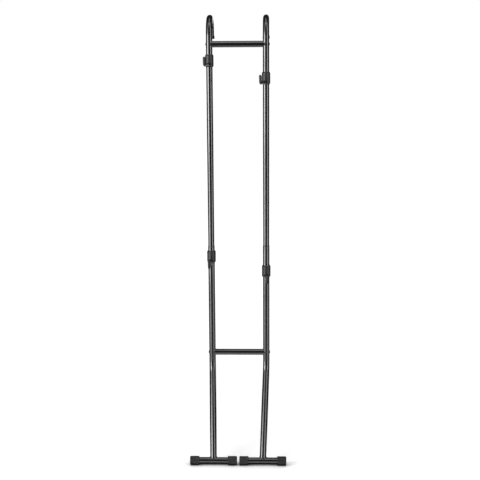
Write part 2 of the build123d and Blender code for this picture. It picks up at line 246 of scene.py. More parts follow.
powder_coat = finish_material(
    "powder_coat", COAT_BLACK, COAT_GREY,
    gloss=(0.17, 0.26), lumps=420.0, lump_depth=0.000005, dust=0.08,
)
shader = powder_coat.node_tree.nodes["Principled BSDF"]
shader.inputs["Specular IOR Level"].default_value = COAT_SHINE
shader.inputs["Coat Weight"].default_value = 1.0
shader.inputs["Coat Roughness"].default_value = COAT_HAZE

for side in SIDES:
    low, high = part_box(f"{side}_foot_bar")
    foot_radius = (high.z - low.z) / 2
    foot_centre = (low + high) / 2
    bm = bmesh.new()
    rim = tube_rim(bm, foot_radius, Matrix.Translation((low.x, foot_centre.y, foot_centre.z)) @ TO_X)
    draw_on(bm, rim, (high.x - low.x, 0.0, 0.0))
    foot_tube = piece_of(bm, f"{side}_foot_tube", powder_coat, "frame", "powder_coat", f"{side}_foot_bar")
    give_wall(foot_tube, FOOT_BAR_WALL)


# Foot caps: thick moulded rubber boots pushed over the ends of the foot bars.
# Grip grooves run along them, the outer end is rounded and dished, and the sole is moulded flat.
CAP_SEGMENTS = 240
CAP_GROOVES = 11
CAP_GROOVE_SPAN = math.radians(250.0)
CAP_GROOVE_WIDTH = 0.0042
CAP_GROOVE_DEPTH = 0.0020
CAP_GROOVE_MARGIN = 0.0060
CAP_GROOVE_RAMP = 0.0012
CAP_EDGE = 0.0045
CAP_EDGE_STEPS = 6
CAP_LIP = 0.0008
CAP_END_WALL = 0.0040
CAP_DISH_RADIUS = 0.0130
CAP_DISH_DEPTH = 0.0008
RUBBER_BLACK = (0.0090, 0.0090, 0.0090, 1.0)
RUBBER_GREY = (0.0160, 0.0160, 0.0156, 1.0)

rubber = finish_material(
    "moulded_rubber", RUBBER_BLACK, RUBBER_GREY,
    gloss=(0.40, 0.55), lumps=900.0, lump_depth=0.00003, dust=0.14,
)


def stack_rings(bm, segments, rings):
    """A closed skin through rings round the Z axis; each ring is a function from angle to point."""
    angle = bm.verts.layers.float.new("angle")
    first = bmesh.ops.create_circle(bm, cap_ends=True, segments=segments, radius=1.0)["verts"]
    for vert in first:
        vert[angle] = math.atan2(vert.co.y, vert.co.x)
    rim = edges_between(first)
    stack = []
    for ring in rings:
        if stack:
            rim = draw_on(bm, rim, (0.0, 0.0, 1.0))
        stack.append(rim_verts(rim))
        for vert in stack[-1]:
            vert.co = ring(vert[angle])
    bmesh.ops.contextual_create(bm, geom=rim)
    bm.verts.layers.float.remove(angle)


def plain_ring(height, radius):
    """A round ring at a height."""
    return lambda angle: (radius * math.cos(angle), radius * math.sin(angle), height)


def cap_ring(along, radius, depth):
    """A ring of a foot cap, with grooves of some depth and the flat of the sole."""
    pitch = CAP_GROOVE_SPAN / (CAP_GROOVES - 1)

    def point(angle):
        from_top = (angle + 1.5 * math.pi) % (2 * math.pi) - math.pi
        number = max(-(CAP_GROOVES // 2), min(CAP_GROOVES // 2, round(from_top / pitch)))
        offset = abs(from_top - pitch * number) * radius / CAP_GROOVE_WIDTH
        groove = math.cos(offset * math.pi) ** 0.5 if offset < 0.5 else 0.0
        reach = radius - depth * groove
        return reach * math.cos(angle), max(reach * math.sin(angle), -sole_drop), along

    return point


for side in SIDES:
    for end in ("outer", "inner"):
        node = f"{side}_foot_{end}_cap"
        low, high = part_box(node)
        cap_radius = (high.y - low.y) / 2
        cap_length = high.x - low.x
        sole_drop = foot_centre.z - low.z
        outward = 1.0 if (side == "right") == (end == "outer") else -1.0
        groove_start = CAP_GROOVE_MARGIN
        groove_end = cap_length - CAP_GROOVE_MARGIN
        rings = [
            plain_ring(cap_length - CAP_END_WALL, foot_radius),
            plain_ring(0.0, foot_radius),
            cap_ring(0.0, cap_radius - CAP_LIP, 0.0),
            cap_ring(CAP_LIP, cap_radius, 0.0),
            cap_ring(groove_start, cap_radius, 0.0),
            cap_ring(groove_start + CAP_GROOVE_RAMP, cap_radius, CAP_GROOVE_DEPTH),
            cap_ring(groove_end - CAP_GROOVE_RAMP, cap_radius, CAP_GROOVE_DEPTH),
            cap_ring(groove_end, cap_radius, 0.0),
        ]
        for step in range(CAP_EDGE_STEPS + 1):
            turn = math.pi / 2 * step / CAP_EDGE_STEPS
            along = cap_length - CAP_EDGE * (1.0 - math.sin(turn))
            rings.append(cap_ring(along, cap_radius - CAP_EDGE * (1.0 - math.cos(turn)), 0.0))
        rings.append(plain_ring(cap_length, CAP_DISH_RADIUS))
        rings.append(plain_ring(cap_length - CAP_DISH_DEPTH, CAP_DISH_RADIUS - 2 * CAP_DISH_DEPTH))
        bm = bmesh.new()
        stack_rings(bm, CAP_SEGMENTS, rings)
        mouth = Vector((low.x if outward > 0 else high.x, foot_centre.y, foot_centre.z))
        lie_along = Matrix(((0, 0, outward, 0), (-outward, 0, 0, 0), (0, 1, 0, 0), (0, 0, 0, 1)))
        bmesh.ops.transform(bm, matrix=Matrix.Translation(mouth) @ lie_along, verts=bm.verts)
        boot = piece_of(bm, f"{side}_{end}_foot_boot", rubber, "frame", "foot_rubber", node)
        boot.data.set_sharp_from_angle(angle=EASED_ANGLE)


# Lower legs: the wider tubes, bent forward below the bottom crossbar and set a little toe-in.
# Each is one length of bent steel tube; its top is the post's socket, with a groove rolled round it.
LEG_WALL = 0.0012
KNEE_HEIGHT = 0.425
KNEE_RADIUS = 0.120
KNEE_STEPS = 18
GROOVE_BELOW_RIM = 0.0020
GROOVE_WIDTH = 0.0042
GROOVE_DEPTH = 0.0019
DOWN = Vector((0.0, 0.0, -1.0))
upright_axis = {}
leg_axis = {}


def cope_length(offset, direction, radius):
    """How far along a leg from the foot bar's axis a point beside the leg's axis meets the bar."""
    a = direction.y**2 + direction.z**2
    b = offset.y * direction.y + offset.z * direction.z
    c = offset.y**2 + offset.z**2 - radius**2
    return (-b + math.sqrt(max(b * b - a * c, 0.0))) / a


for side in SIDES:
    post_low, post_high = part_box(f"{side}_upper_post")
    post_radius = (post_high.x - post_low.x) / 2
    axis = Vector(((post_low.x + post_high.x) / 2, post_low.y + post_radius, 0.0))
    upright_axis[side] = axis
    low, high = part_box(f"{side}_lower_leg")
    leg_radius = axis.x - low.x if side == "left" else high.x - axis.x
    bar_low, bar_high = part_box(f"{side}_foot_bar")
    foot = (bar_low + bar_high) / 2
    knee = axis - DOWN * KNEE_HEIGHT
    run = (foot - knee).normalized()
    forward = Vector((run.x, run.y, 0.0)).normalized()
    angle = DOWN.angle(run)
    tangent = KNEE_RADIUS * math.tan(angle / 2)
    leg_axis[side] = (foot, -run)
    bm = bmesh.new()
    rim = tube_rim(bm, leg_radius, Matrix.Translation((axis.x, axis.y, high.z)))
    rim = draw_on(bm, rim, DOWN * GROOVE_BELOW_RIM)
    groove_radius = leg_radius - GROOVE_DEPTH
    for size in (groove_radius / leg_radius, leg_radius / groove_radius):
        rim = draw_on(bm, rim, DOWN * (GROOVE_WIDTH / 2))
        bmesh.ops.scale(bm, vec=(size, size, 1.0), space=Matrix.Translation(-axis), verts=rim_verts(rim))
    groove_end = high.z - GROOVE_BELOW_RIM - GROOVE_WIDTH
    rim = draw_on(bm, rim, DOWN * (groove_end - KNEE_HEIGHT - tangent))
    centre = knee - DOWN * tangent + forward * KNEE_RADIUS
    rim = bend_on(bm, rim, centre, DOWN.cross(forward), angle, KNEE_STEPS)
    rim = draw_on(bm, rim, run * ((foot - knee).length - tangent))
    for vert in rim_verts(rim):
        vert.co -= run * cope_length(vert.co - foot, -run, foot_radius)
    leg = piece_of(bm, f"{side}_leg_tube", powder_coat, "frame", "powder_coat", f"{side}_lower_leg")
    give_wall(leg, LEG_WALL)


# Foot welds: the rippled beads that join each leg to its foot bar all the way round.
# Laid by hand in short overlapping pools, then coated with the rest of the frame.
WELD_RADIUS = 0.0030
WELD_POOLS = 34
WELD_RIPPLE = 0.22
WELD_STEPS = 272
WELD_SIDES = 12

for side in SIDES:
    foot, upward = leg_axis[side]
    to_leg = upward.to_track_quat("Z", "Y").to_matrix()
    bm = bmesh.new()
    profile = Matrix.Translation((leg_radius, 0.0, 0.0)) @ Matrix.Rotation(math.pi / 2, 4, "X")
    made = bmesh.ops.create_circle(bm, segments=WELD_SIDES, radius=WELD_RADIUS, matrix=profile)
    loop = made["verts"] + edges_between(made["verts"])
    bmesh.ops.spin(bm, geom=loop, axis=(0, 0, 1), angle=2 * math.pi, steps=WELD_STEPS, use_merge=True)
    for vert in bm.verts:
        around = math.atan2(vert.co.y, vert.co.x)
        middle = Vector((math.cos(around), math.sin(around), 0.0)) * leg_radius
        pool = 1.0 - WELD_RIPPLE * abs(math.sin(around * WELD_POOLS / 2)) ** 3
        seat = cope_length(to_leg @ middle, upward, foot_radius)
        vert.co = middle + (vert.co - middle) * pool + Vector((0.0, 0.0, seat))
    bmesh.ops.transform(bm, matrix=Matrix.Translation(foot) @ to_leg.to_4x4(), verts=bm.verts)
    piece_of(bm, f"{side}_weld_bead", powder_coat, "frame", "powder_coat", f"{side}_foot_weld")


# Upper posts: the narrower tubes, dropped into the legs and curved over at the top like a cane.
# One length of steel tube each, bent through a half turn so that its end faces the floor.
POST_WALL = 0.0015
CANE_STEPS = 48
BUMPER_FLOOR = 0.0030

for side in SIDES:
    low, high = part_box(f"{side}_upper_post")
    axis = upright_axis[side]
    cane_radius = (high.y - post_radius - axis.y) / 2
    cane_height = high.z - post_radius - cane_radius
    tail_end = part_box(f"{side}_wall_bumper")[0].z + BUMPER_FLOOR
    bm = bmesh.new()
    rim = tube_rim(bm, post_radius, Matrix.Translation((axis.x, axis.y, low.z)))
    rim = draw_on(bm, rim, (0.0, 0.0, cane_height - low.z))
    centre = (axis.x, axis.y + cane_radius, cane_height)
    rim = bend_on(bm, rim, centre, (-1.0, 0.0, 0.0), math.pi, CANE_STEPS)
    draw_on(bm, rim, (0.0, 0.0, tail_end - cane_height))
    post = piece_of(bm, f"{side}_cane_post", powder_coat, "frame", "powder_coat", f"{side}_upper_post")
    give_wall(post, POST_WALL)


# Crossbars: straight tubes that tie the two uprights together near the top and below the middle.
# Their ends are milled to the round of the uprights, and a bolt draws each end tight.
BAR_WALL = 0.0015
BAR_EAR_SETBACK = 0.006
CROSSBARS = {"top_crossbar": post_radius, "bottom_crossbar": leg_radius}

for bar, seat_radius in CROSSBARS.items():
    low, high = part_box(bar)
    bar_radius = (high.z - low.z) / 2
    middle = (low + high) / 2
    reach = upright_axis["right"].x
    bm = bmesh.new()
    rim = tube_rim(bm, bar_radius, Matrix.Translation((-reach, middle.y, middle.z)) @ TO_X)
    draw_on(bm, rim, (2 * reach, 0.0, 0.0))
    for vert in bm.verts:
        saddle = math.sqrt(max(seat_radius**2 - (vert.co.y - middle.y) ** 2, 0.0))
        vert.co.x = math.copysign(reach - max(saddle, BAR_EAR_SETBACK), vert.co.x)
    tube = piece_of(bm, f"{bar}_tube", powder_coat, "frame", "powder_coat", bar)
    give_wall(tube, BAR_WALL)


# Crossbar bolts: low domed steel bolts with a hexagon socket, one at each end of each crossbar.
# They pass through the upright on a saddle washer and screw into a plug inside the bar.
BOLT_SEGMENTS = 48
BOLT_RADIUS = 0.0040
BOLT_HEAD_RADIUS = 0.0070
BOLT_DOME = 0.0026
BOLT_DOME_STEPS = 6
BOLT_SOCKET_HALF = 0.0020
BOLT_SOCKET_MOUTH = 0.0026
BOLT_SOCKET_DEPTH = 0.0014
BOLT_THREAD_END = 0.0190
BOLT_EDGE = 0.0002
WASHER_CENTRE = 0.0006
OXIDE_BLACK = (0.016, 0.016, 0.017, 1.0)
OXIDE_GREY = (0.030, 0.030, 0.031, 1.0)

black_oxide = finish_material(
    "black_oxide", OXIDE_BLACK, OXIDE_GREY,
    gloss=(0.30, 0.42), lumps=1500.0, lump_depth=0.000008, dust=0.05,
)


def hexagon_ring(height, half):
    """A hexagonal ring at a height, with its flats a half width from the axis."""

    def point(angle):
        from_flat = (angle + math.pi / 6) % (math.pi / 3) - math.pi / 6
        reach = half / math.cos(from_flat)
        return reach * math.cos(angle), reach * math.sin(angle), height

    return point


def bolt_rings(grip):
    """A bolt's rings, from its thread end below the seat to the bottom of its socket."""
    dome_radius = (BOLT_HEAD_RADIUS**2 + BOLT_DOME**2) / (2 * BOLT_DOME)
    rings = [plain_ring(-grip, BOLT_RADIUS), plain_ring(0.0, BOLT_RADIUS)]
    for step in range(BOLT_DOME_STEPS + 1):
        reach = BOLT_HEAD_RADIUS + (BOLT_SOCKET_MOUTH - BOLT_HEAD_RADIUS) * step / BOLT_DOME_STEPS
        crown = BOLT_DOME - dome_radius + math.sqrt(dome_radius**2 - reach**2)
        rings.append(plain_ring(crown, reach))
    rings.append(hexagon_ring(crown, BOLT_SOCKET_HALF))
    rings.append(hexagon_ring(crown - BOLT_SOCKET_DEPTH, BOLT_SOCKET_HALF))
    return rings


def add_to(whole, bm):
    """Adds a bmesh to a larger one and frees it."""
    mesh = bpy.data.meshes.new("added")
    bm.to_mesh(mesh)
    bm.free()
    whole.from_mesh(mesh)
    bpy.data.meshes.remove(mesh)


bolt_set = bmesh.new()
for bar, seat_radius in CROSSBARS.items():
    low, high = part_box(bar)
    for side in SIDES:
        axis = upright_axis[side]
        away = math.copysign(1.0, axis.x)
        seat = Vector((axis.x + away * (seat_radius + WASHER_CENTRE), axis.y, (low.z + high.z) / 2))
        bm = bmesh.new()
        stack_rings(bm, BOLT_SEGMENTS, bolt_rings(2 * seat_radius + WASHER_CENTRE + BOLT_THREAD_END))
        place = Matrix.Translation(seat) @ Matrix.Rotation(away * math.pi / 2, 4, "Y")
        bmesh.ops.transform(bm, matrix=place, verts=bm.verts)
        add_to(bolt_set, bm)
bolts = piece_of(bolt_set, "crossbar_bolt_set", black_oxide, "frame", "black_fastener", "crossbar_bolts")
ease_edges(bolts, BOLT_EDGE)


# Wall bumpers: soft rubber cups on the ends of the canes, with a flat pad at the back.
# Moulded in one piece and pushed on, they are what rests against the wall.
BUMPER_SEGMENTS = 96
BUMPER_WALL = 0.0020
BUMPER_EDGE = 0.0010
BUMPER_PAD_HALF = 0.0100


def bumper_ring(height, radius, pad_face):
    """A ring of a bumper: round, with a flat pad standing out towards +Y."""

    def point(angle):
        x = radius * math.cos(angle)
        y = radius * math.sin(angle)
        if y > 0.0 and abs(x) < BUMPER_PAD_HALF:
            return x, pad_face, height
        return x, y, height

    return point


for side in SIDES:
    node = f"{side}_wall_bumper"
    low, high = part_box(node)
    axis = upright_axis[side]
    tail = Vector((axis.x, axis.y + 2 * cane_radius, low.z))
    height = high.z - low.z
    outer = post_radius + BUMPER_WALL
    pad_face = high.y - tail.y
    rings = [
        plain_ring(BUMPER_FLOOR, post_radius),
        plain_ring(height, post_radius),
        bumper_ring(height, outer, pad_face),
        bumper_ring(0.0, outer, pad_face),
    ]
    bm = bmesh.new()
    stack_rings(bm, BUMPER_SEGMENTS, rings)
    bmesh.ops.transform(bm, matrix=Matrix.Translation(tail), verts=bm.verts)
    bumper = piece_of(bm, f"{side}_cane_bumper", rubber, "frame", "bumper_rubber", node)
    ease_edges(bumper, BUMPER_EDGE)


# Arm liners: split nylon sleeves that glide on the tubes, with a coned flange at each end.
# Moulded smooth, they spring on sideways through the slit and trap the collar between the flanges.
ARMS = {
    "upper_left": post_radius,
    "upper_right": post_radius,
    "lower_left": leg_radius,
    "lower_right": leg_radius,
}
SPIN_STEPS = 96
LINER_CLEARANCE = 0.0001
LINER_WALL = 0.0014
LINER_FLANGE = 0.0022
LINER_SLIT = 0.0025
LINER_EDGE = 0.0003
LINER_BLACK = (0.024, 0.024, 0.025, 1.0)
LINER_GREY = (0.036, 0.036, 0.037, 1.0)
joint_named = {joint["name"]: joint for joint in frame["joints"]}

smooth_nylon = finish_material(
    "smooth_nylon", LINER_BLACK, LINER_GREY,
    gloss=(0.34, 0.46), lumps=1200.0, lump_depth=0.000006, dust=0.04,
)


def arm_place(arm):
    """Where an arm is: the middle of its collar on the tube's axis, turned to face the way it points."""
    swivel = joint_named[f"{arm}_swivel"]
    back = joint_named[f"{arm}_knob_turn"]["axis"]
    return Matrix.Translation(swivel["pos_m"]) @ Matrix.Rotation(math.atan2(-back[0], back[1]), 4, "Z")


def outline_loop(bm, outline):
    """A closed outline of radius and height, ready to spin round the Z axis."""
    verts = [bm.verts.new((radius, 0.0, height)) for radius, height in outline]
    edges = [bm.edges.new(pair) for pair in zip(verts, verts[1:] + verts[:1])]
    return verts, edges


for arm, tube_radius in ARMS.items():
    low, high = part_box(f"{arm}_liner")
    half = (high.z - low.z) / 2
    bore = tube_radius + LINER_CLEARANCE
    sleeve_radius = bore + LINER_WALL
    flange_radius = (high.x - low.x) / 2
    outline = [
        (bore, -half),
        (sleeve_radius, -half),
        (flange_radius, LINER_FLANGE - half),
        (sleeve_radius, LINER_FLANGE - half),
        (sleeve_radius, half - LINER_FLANGE),
        (flange_radius, half - LINER_FLANGE),
        (sleeve_radius, half),
        (bore, half),
    ]
    bm = bmesh.new()
    verts, edges = outline_loop(bm, outline)
    face = bm.faces.new(verts)
    half_slit = math.asin(LINER_SLIT / 2 / sleeve_radius)
    bmesh.ops.rotate(bm, matrix=Matrix.Rotation(half_slit, 3, "Z"), verts=verts)
    around = 2 * (math.pi - half_slit)
    bmesh.ops.spin(bm, geom=verts + edges + [face], axis=(0, 0, 1), angle=around, steps=SPIN_STEPS)
    bmesh.ops.holes_fill(bm, edges=[edge for edge in bm.edges if edge.is_boundary])
    bmesh.ops.transform(bm, matrix=arm_place(arm), verts=bm.verts)
    liner = piece_of(bm, f"{arm}_glide_sleeve", smooth_nylon, f"{arm}_glide", "liner_nylon", f"{arm}_liner")
    ease_edges(liner, LINER_EDGE)


# Arm collars: the moulded bodies that turn on the liners, chamfered at both ends.
# Glass-filled nylon with fine spark grain; a boss in front holds the arm, one behind the clamp.
# A steel pin, pressed in from above, crosses the front boss and keeps the arm from turning.
COLLAR_CLEARANCE = 0.00005
COLLAR_WALL = 0.0034
COLLAR_CHAMFER = 0.0026
COLLAR_EDGE = 0.0005
BOSS_SEGMENTS = 40
BOSS_RADIUS = 0.0095
BOSS_FILLET = 0.0022
BOSS_FILLET_STEPS = 6
BOSS_SINK = 0.0001
BOSS_ROOT = 0.0004
BOSS_MARGIN = 0.0010
FRONT_BOSS_LENGTH = 0.0130
REAR_BOSS_LENGTH = 0.0080
ROD_HOLE = 0.00505
ROD_SEAT_WALL = 0.0015
PIN_RADIUS = 0.0020
PIN_RECESS = 0.0006
PIN_SEGMENTS = 24
PIN_EDGE = 0.0003
INSERT_RADIUS = 0.0055
INSERT_LENGTH = 0.0080
COLLAR_BLACK = (0.0150, 0.0150, 0.0158, 1.0)
COLLAR_GREY = (0.0235, 0.0235, 0.0245, 1.0)
TO_FRONT = Matrix.Rotation(math.pi / 2, 4, "X")
TO_BACK = Matrix.Rotation(-math.pi / 2, 4, "X")
collar_radii = {}
boss_drops = {}

grained_nylon = finish_material(
    "grained_nylon", COLLAR_BLACK, COLLAR_GREY,
    gloss=(0.36, 0.50), lumps=1500.0, lump_depth=0.00003, dust=0.05,
)


def boss_rings(drop, face, hole_radius, hole_floor, stations):
    """A boss's rings: from its root in the collar's wall, out over a fillet, then down its hole."""

    def on_collar(radius, rise):
        def point(angle):
            x = radius * math.cos(angle)
            y = max(radius * math.sin(angle), drop - collar_half + COLLAR_EDGE)
            cut = max(0.0, abs(y - drop) - collar_half + COLLAR_CHAMFER)
            return x, y, math.sqrt((collar_radius - cut) ** 2 - x**2) + rise

        return point

    rings = [
        plain_ring(collar_bore + BOSS_ROOT, BOSS_RADIUS),
        on_collar(BOSS_RADIUS + BOSS_FILLET, -BOSS_SINK),
    ]
    for step in range(BOSS_FILLET_STEPS + 1):
        turn = math.pi / 2 * step / BOSS_FILLET_STEPS
        side_step = BOSS_FILLET * (1.0 - math.sin(turn))
        rings.append(on_collar(BOSS_RADIUS + side_step, BOSS_FILLET * (1.0 - math.cos(turn))))
    rings += [plain_ring(station, BOSS_RADIUS) for station in stations]
    rings.append(plain_ring(face, BOSS_RADIUS))
    rings.append(plain_ring(face, hole_radius))
    rings.append(plain_ring(hole_floor, hole_radius))
    return rings


def sink_pin_hole(bm, pin_reach, side):
    """Opens the round recess of the cross pin in the top or the bottom of a boss."""
    crown = Vector((0.0, side * BOSS_RADIUS, pin_reach))
    middle = min(bm.verts, key=lambda vert: (vert.co - crown).length)
    corners = (vert for face in middle.link_faces for vert in face.verts if vert != middle)
    around = list(dict.fromkeys(corners))
    bmesh.ops.delete(bm, geom=[middle], context="VERTS")
    for vert in around:
        out = Vector((vert.co.x, vert.co.z - pin_reach)).normalized() * PIN_RADIUS
        vert.co = (out.x, side * math.sqrt(BOSS_RADIUS**2 - out.x**2), pin_reach + out.y)
    rim = draw_on(bm, edges_between(around), (0.0, -side * PIN_RECESS, 0.0))
    bmesh.ops.contextual_create(bm, geom=rim)


for arm, tube_radius in ARMS.items():
    low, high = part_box(f"{arm}_collar")
    collar_half = (high.z - low.z) / 2
    collar_bore = tube_radius + LINER_CLEARANCE + LINER_WALL + COLLAR_CLEARANCE
    collar_radius = collar_bore + COLLAR_WALL
    boss_drop = collar_half - BOSS_RADIUS - BOSS_MARGIN
    front_face = collar_radius + FRONT_BOSS_LENGTH
    rear_face = collar_radius + REAR_BOSS_LENGTH
    rod_seat = collar_bore + ROD_SEAT_WALL
    pin_reach = (rod_seat + front_face) / 2
    collar_radii[arm] = collar_radius
    boss_drops[arm] = boss_drop
    outline = [
        (collar_bore, -collar_half),
        (collar_radius - COLLAR_CHAMFER, -collar_half),
        (collar_radius, COLLAR_CHAMFER - collar_half),
        (collar_radius, collar_half - COLLAR_CHAMFER),
        (collar_radius - COLLAR_CHAMFER, collar_half),
        (collar_bore, collar_half),
    ]
    shell = bmesh.new()
    verts, edges = outline_loop(shell, outline)
    full_turn = {"axis": (0, 0, 1), "angle": 2 * math.pi, "steps": SPIN_STEPS, "use_merge": True}
    bmesh.ops.spin(shell, geom=verts + edges, **full_turn)
    pin_step = BOSS_RADIUS * math.sin(2 * math.pi / BOSS_SEGMENTS)
    front_stations = [pin_reach - pin_step, pin_reach, pin_reach + pin_step]
    bosses = (
        (TO_FRONT, boss_drop, front_face, ROD_HOLE, rod_seat, front_stations),
        (TO_BACK, 0.0, rear_face, INSERT_RADIUS, rear_face - INSERT_LENGTH, []),
    )
    for facing, drop, face, hole_radius, hole_floor, stations in bosses:
        bm = bmesh.new()
        stack_rings(bm, BOSS_SEGMENTS, boss_rings(drop, face, hole_radius, hole_floor, stations))
        if stations:
            sink_pin_hole(bm, pin_reach, 1)
            sink_pin_hole(bm, pin_reach, -1)
        bmesh.ops.transform(bm, matrix=Matrix.Translation((0.0, 0.0, -drop)) @ facing, verts=bm.verts)
        add_to(shell, bm)
    bmesh.ops.transform(shell, matrix=arm_place(arm), verts=shell.verts)
    carrier = f"{arm}_carrier"
    collar = piece_of(shell, f"{arm}_swivel_collar", grained_nylon, carrier, "collar_nylon", f"{arm}_collar")
    ease_edges(collar, COLLAR_EDGE)

    pin_half = BOSS_RADIUS - PIN_RECESS / 2
    bm = bmesh.new()
    bmesh.ops.create_cone(
        bm, cap_ends=True, segments=PIN_SEGMENTS, radius1=PIN_RADIUS, radius2=PIN_RADIUS, depth=2 * pin_half
    )
    bmesh.ops.translate(bm, vec=(0.0, -pin_reach, -boss_drop), verts=bm.verts)
    bmesh.ops.transform(bm, matrix=arm_place(arm), verts=bm.verts)
    pin = piece_of(bm, f"{arm}_cross_pin", black_oxide, carrier, "plain_steel", f"{arm}_arm_pin")
    ease_edges(pin, PIN_EDGE)


# Arm sleeves: the soft dipped vinyl over each steel arm, from the collar's boss to the round tip.
# The arm runs straight out to the front and turns up at the end so that a frame tube stays on it.
SLEEVE_SEGMENTS = 48
SLEEVE_RADIUS = 0.0065
SLEEVE_WALL = 0.0015
SLEEVE_ROLL = 0.0005
SLEEVE_ROLL_LENGTH = 0.0022
ARM_REACH = 0.2070
ARM_BEND_RADIUS = 0.0200
ARM_BEND_STEPS = 20
TIP_RISE = 0.0335
TIP_LEAN = math.radians(10.0)
TIP_STEPS = 8
TIP_CLOSING = 0.98
VINYL_BLACK = (0.0120, 0.0120, 0.0125, 1.0)
VINYL_GREY = (0.0200, 0.0200, 0.0205, 1.0)

dipped_vinyl = finish_material(
    "dipped_vinyl", VINYL_BLACK, VINYL_GREY,
    gloss=(0.30, 0.42), lumps=260.0, lump_depth=0.00005, dust=0.05,
)

for arm in ARMS:
    front_face = collar_radii[arm] + FRONT_BOSS_LENGTH
    bend = math.pi / 2 - TIP_LEAN
    tangent = ARM_BEND_RADIUS * math.tan(bend / 2)
    bend_start = ARM_REACH - tangent
    up = Vector((0.0, -math.sin(TIP_LEAN), math.cos(TIP_LEAN)))
    bm = bmesh.new()
    rolled = SLEEVE_RADIUS + SLEEVE_ROLL
    start = Matrix.Translation((0.0, -front_face, 0.0)) @ TO_FRONT
    made = bmesh.ops.create_circle(bm, segments=SLEEVE_SEGMENTS, radius=SLEEVE_RADIUS, matrix=start)
    rim = edges_between(made["verts"])
    swell = (rolled / SLEEVE_RADIUS, 1.0, rolled / SLEEVE_RADIUS)
    rim = draw_on(bm, rim, (0.0, -SLEEVE_ROLL, 0.0))
    bmesh.ops.scale(bm, vec=swell, verts=rim_verts(rim))
    rim = draw_on(bm, rim, (0.0, -SLEEVE_ROLL_LENGTH, 0.0))
    rim = draw_on(bm, rim, (0.0, -2 * SLEEVE_ROLL, 0.0))
    bmesh.ops.scale(bm, vec=(1.0 / swell[0], 1.0, 1.0 / swell[2]), verts=rim_verts(rim))
    made_so_far = front_face + SLEEVE_ROLL_LENGTH + 3 * SLEEVE_ROLL
    rim = draw_on(bm, rim, (0.0, made_so_far - bend_start, 0.0))
    centre = (0.0, -bend_start, ARM_BEND_RADIUS)
    rim = bend_on(bm, rim, centre, (-1.0, 0.0, 0.0), bend, ARM_BEND_STEPS)
    rim = draw_on(bm, rim, up * (TIP_RISE / math.cos(TIP_LEAN) - tangent))
    tip = sum((vert.co for vert in rim_verts(rim)), Vector()) / SLEEVE_SEGMENTS
    for step in range(1, TIP_STEPS + 1):
        before = math.pi / 2 * (step - 1) / TIP_STEPS
        turn = math.pi / 2 * min(step / TIP_STEPS, TIP_CLOSING)
        rim = draw_on(bm, rim, up * SLEEVE_RADIUS * (math.sin(turn) - math.sin(before)))
        middle = tip + up * SLEEVE_RADIUS * math.sin(turn)
        shrink = math.cos(turn) / math.cos(before)
        size = (shrink, shrink, shrink)
        bmesh.ops.scale(bm, vec=size, space=Matrix.Translation(-middle), verts=rim_verts(rim))
    bmesh.ops.contextual_create(bm, geom=rim)
    place = arm_place(arm) @ Matrix.Translation((0.0, 0.0, -boss_drops[arm]))
    bmesh.ops.transform(bm, matrix=place, verts=bm.verts)
    carrier = f"{arm}_carrier"
    sleeve = piece_of(bm, f"{arm}_soft_sleeve", dipped_vinyl, carrier, "sleeve_vinyl", f"{arm}_arm_sleeve")
    give_wall(sleeve, SLEEVE_WALL)


# Clamp knobs: small lobed hand knobs behind the collars, moulded over a threaded stud.
# Tightening one presses its stud on the split liner, which grips the tube.
KNOB_SEGMENTS = 144
KNOB_RADIUS = 0.0150
KNOB_LOBES = 6
KNOB_SCALLOP = 0.0022
KNOB_SCALLOP_POWER = 1.5
KNOB_GAP = 0.0015
KNOB_HUB_RADIUS = 0.0080
KNOB_HUB_HEIGHT = 0.0040
KNOB_HEIGHT = 0.0140
KNOB_EDGE = 0.0016
KNOB_EDGE_STEPS = 5
KNOB_DISH_RADIUS = 0.0085
KNOB_DISH_DEPTH = 0.0010
KNOB_EASE = 0.0004
STUD_RADIUS = 0.0040
STUD_GRIP = 0.0120


def lobed_ring(height, radius):
    """A ring with shallow scallops for the fingers."""

    def point(angle):
        scallop = KNOB_SCALLOP * (0.5 + 0.5 * math.cos(KNOB_LOBES * angle)) ** KNOB_SCALLOP_POWER
        reach = radius - scallop
        return reach * math.cos(angle), reach * math.sin(angle), height

    return point


for arm in ARMS:
    knob_face = collar_radii[arm] + REAR_BOSS_LENGTH + KNOB_GAP
    top = KNOB_HUB_HEIGHT + KNOB_HEIGHT
    rings = [
        plain_ring(STUD_GRIP, STUD_RADIUS),
        plain_ring(0.0, STUD_RADIUS),
        plain_ring(0.0, KNOB_HUB_RADIUS),
        plain_ring(KNOB_HUB_HEIGHT, KNOB_HUB_RADIUS),
        lobed_ring(KNOB_HUB_HEIGHT, KNOB_RADIUS),
    ]
    for step in range(KNOB_EDGE_STEPS + 1):
        turn = math.pi / 2 * step / KNOB_EDGE_STEPS
        inset = KNOB_EDGE * (1.0 - math.cos(turn))
        rings.append(lobed_ring(top - KNOB_EDGE * (1.0 - math.sin(turn)), KNOB_RADIUS - inset))
    rings.append(plain_ring(top, KNOB_DISH_RADIUS))
    rings.append(plain_ring(top - KNOB_DISH_DEPTH, KNOB_DISH_RADIUS - KNOB_DISH_DEPTH))
    bm = bmesh.new()
    stack_rings(bm, KNOB_SEGMENTS, rings)
    place = arm_place(arm) @ Matrix.Translation((0.0, knob_face, 0.0)) @ TO_BACK
    bmesh.ops.transform(bm, matrix=place, verts=bm.verts)
    knob = piece_of(bm, f"{arm}_hand_knob", grained_nylon, f"{arm}_clamp", "knob_plastic", f"{arm}_knob")
    ease_edges(knob, KNOB_EASE)


# Plain metal inside: arm rods, knob studs and crossbar plugs of zinc-plated steel, brass threads.
# They stay as they were built and only take a finish; the saddle washers are blackened steel.
ZINC_DARK = (0.40, 0.40, 0.41, 1.0)
ZINC_PALE = (0.58, 0.58, 0.60, 1.0)
BRASS_DARK = (0.52, 0.36, 0.14, 1.0)
BRASS_PALE = (0.78, 0.58, 0.27, 1.0)

